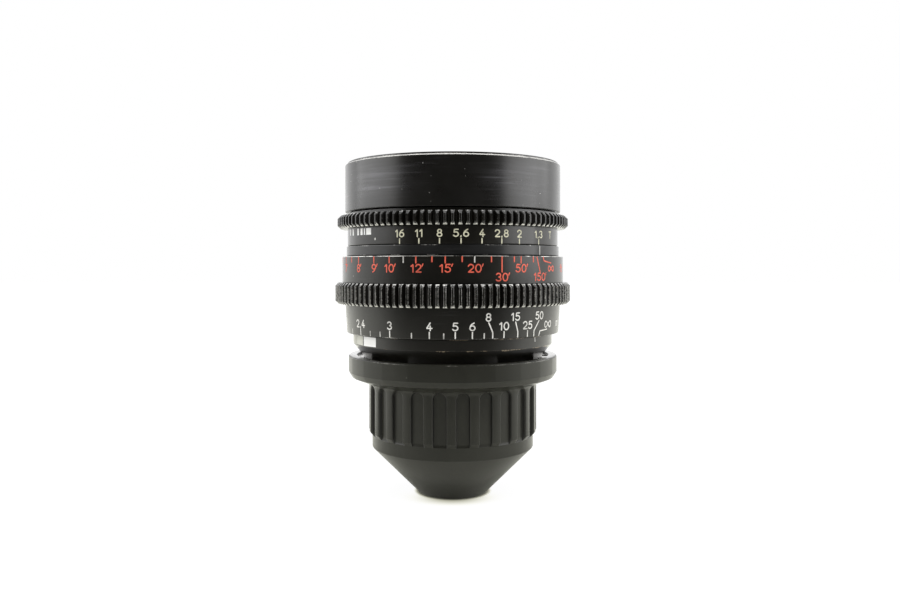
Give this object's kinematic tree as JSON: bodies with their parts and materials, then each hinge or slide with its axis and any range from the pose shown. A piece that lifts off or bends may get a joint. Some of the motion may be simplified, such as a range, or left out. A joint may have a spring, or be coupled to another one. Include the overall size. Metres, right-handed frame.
{
  "type": "cinema prime lens",
  "caption": "Manual cinema prime lens standing on its fluted rear cap, with toothed focus and iris rings, a helicoid, working iris blades and a four-tab bayonet mount.",
  "frame": {"origin": "centre of the rear cap's flat foot", "axes": "+Z along the optical axis towards the front element, -Y towards the viewer of the scales"},
  "size_m": [0.0872, 0.0872, 0.1218],
  "materials": {
    "cap_plastic": "matt moulded plastic, lightly scuffed",
    "mount_steel": "turned steel",
    "screw_steel": "plain steel",
    "black_barrel": "satin black anodised, worn on the edges",
    "gear_black": "black anodised, bright where the teeth are worn",
    "inner_black": "matt black anodised",
    "helicoid_brass": "turned, greased",
    "blade_steel": "thin matt black sheet",
    "optical_glass": "polished and coated"
  },
  "bodies": {
    "rear_cap": {"rear_cap": "cap_plastic"},
    "mount_barrel": {"mount_barrel": "black_barrel", "mount_flange": "mount_steel", "mount_screws": "screw_steel", "focus_retainer": "inner_black", "guide_keys": "helicoid_brass", "key_screws": "screw_steel"},
    "focus_ring": {"focus_ring": "black_barrel", "focus_gear": "gear_black", "helicoid_nut": "helicoid_brass", "nut_screws": "screw_steel"},
    "lens_block": {"block_sleeve": "inner_black", "index_band": "black_barrel", "iris_housing": "inner_black", "iris_retainer": "inner_black", "front_cell": "inner_black", "front_barrel": "black_barrel", "front_ring": "inner_black", "mid_ring": "inner_black", "front_element": "optical_glass", "second_element": "optical_glass", "third_element": "optical_glass", "rear_cell": "inner_black", "rear_front_ring": "inner_black", "rear_spacer": "inner_black", "rear_ring": "inner_black", "fourth_element": "optical_glass", "fifth_element": "optical_glass", "sixth_element": "optical_glass", "rear_element": "optical_glass"},
    "iris_ring": {"iris_ring": "black_barrel", "iris_gear": "gear_black", "iris_drive_pin": "screw_steel", "iris_cam_ring": "helicoid_brass"},
    "iris_blade_1": {"iris_blade_1": "blade_steel"},
    "iris_blade_2": {"iris_blade_2": "blade_steel"},
    "iris_blade_3": {"iris_blade_3": "blade_steel"},
    "iris_blade_4": {"iris_blade_4": "blade_steel"},
    "iris_blade_5": {"iris_blade_5": "blade_steel"},
    "iris_blade_6": {"iris_blade_6": "blade_steel"},
    "iris_blade_7": {"iris_blade_7": "blade_steel"}
  },
  "joints": [
    {"name": "lens_lift", "type": "slide", "parent": "rear_cap", "child": "mount_barrel", "axis": [0, 0, 1], "range_m": [0, 0.06]},
    {"name": "focus_turn", "type": "hinge", "parent": "mount_barrel", "child": "focus_ring", "pos_m": [0, 0, 0.07], "axis": [0, 0, 1], "range_deg": [0, 308]},
    {"name": "block_slide", "type": "slide", "parent": "mount_barrel", "child": "lens_block", "axis": [0, 0, 1], "range_m": [0, 0.0097]},
    {"name": "iris_turn", "type": "hinge", "parent": "lens_block", "child": "iris_ring", "pos_m": [0, 0, 0.097], "axis": [0, 0, 1], "range_deg": [0, 76.7]},
    {"name": "blade_1_swing", "type": "hinge", "parent": "lens_block", "child": "iris_blade_1", "pos_m": [0.01009, -0.02772, 0.09], "axis": [0, 0, 1], "range_deg": [0, 38.2]},
    {"name": "blade_2_swing", "type": "hinge", "parent": "lens_block", "child": "iris_blade_2", "pos_m": [0.02796, -0.0094, 0.09], "axis": [0, 0, 1], "range_deg": [0, 38.2]},
    {"name": "blade_3_swing", "type": "hinge", "parent": "lens_block", "child": "iris_blade_3", "pos_m": [0.02478, 0.01601, 0.09], "axis": [0, 0, 1], "range_deg": [0, 38.2]},
    {"name": "blade_4_swing", "type": "hinge", "parent": "lens_block", "child": "iris_blade_4", "pos_m": [0.00294, 0.02935, 0.09], "axis": [0, 0, 1], "range_deg": [0, 38.2]},
    {"name": "blade_5_swing", "type": "hinge", "parent": "lens_block", "child": "iris_blade_5", "pos_m": [-0.02112, 0.0206, 0.09], "axis": [0, 0, 1], "range_deg": [0, 38.2]},
    {"name": "blade_6_swing", "type": "hinge", "parent": "lens_block", "child": "iris_blade_6", "pos_m": [-0.02927, -0.00367, 0.09], "axis": [0, 0, 1], "range_deg": [0, 38.2]},
    {"name": "blade_7_swing", "type": "hinge", "parent": "lens_block", "child": "iris_blade_7", "pos_m": [-0.01538, -0.02517, 0.09], "axis": [0, 0, 1], "range_deg": [0, 38.2]}
  ],
  "couplings": [
    {"joint": "block_slide", "follows": "focus_turn", "m_per_rad": 0.0017858},
    {"joint": "blade_1_swing", "follows": "iris_turn", "ratio": 0.4975},
    {"joint": "blade_2_swing", "follows": "iris_turn", "ratio": 0.4975},
    {"joint": "blade_3_swing", "follows": "iris_turn", "ratio": 0.4975},
    {"joint": "blade_4_swing", "follows": "iris_turn", "ratio": 0.4975},
    {"joint": "blade_5_swing", "follows": "iris_turn", "ratio": 0.4975},
    {"joint": "blade_6_swing", "follows": "iris_turn", "ratio": 0.4975},
    {"joint": "blade_7_swing", "follows": "iris_turn", "ratio": 0.4975}
  ]
}
